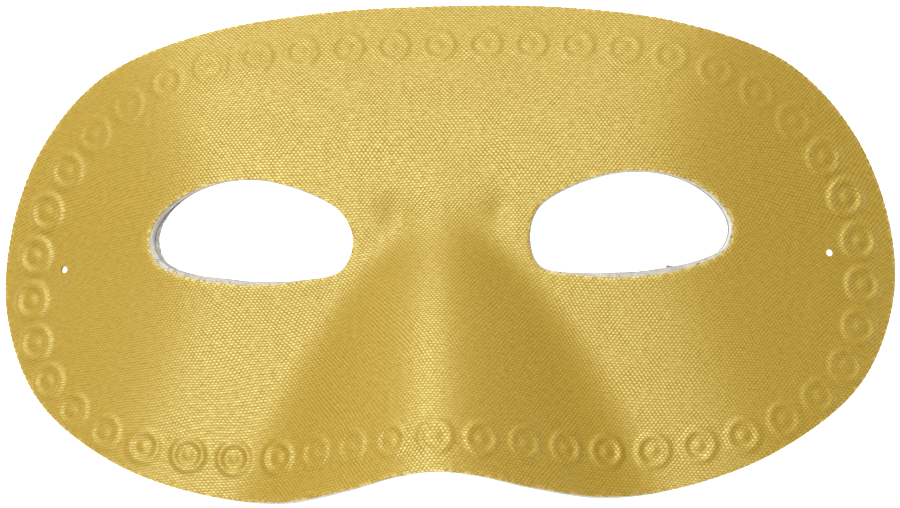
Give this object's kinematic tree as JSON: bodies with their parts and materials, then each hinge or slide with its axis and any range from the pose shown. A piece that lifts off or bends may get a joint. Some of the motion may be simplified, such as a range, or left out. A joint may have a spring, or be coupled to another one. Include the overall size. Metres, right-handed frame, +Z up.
{
  "type": "masquerade mask",
  "caption": "Pressed gold satin half mask with rounded eye openings, a raised nose and an embossed chain of rings round the edge.",
  "frame": {"origin": "on the surface that the mask lies on, under the middle of its outline", "axes": "+X along the eyes, to the right as seen from the front; +Y towards the forehead; +Z up, out of the face"},
  "size_m": [0.1962, 0.1086, 0.0414],
  "materials": {
    "gold_satin": "woven gold satin with a soft metallic sheen, embossed",
    "white_felt": "pressed white felt, matt, die-cut edge",
    "grey_lining": "thin grey non-woven lining, matt and slightly rough"
  },
  "bodies": {
    "root": {"satin_cover": "gold_satin", "felt_core": "white_felt", "back_lining": "grey_lining"}
  },
  "joints": []
}
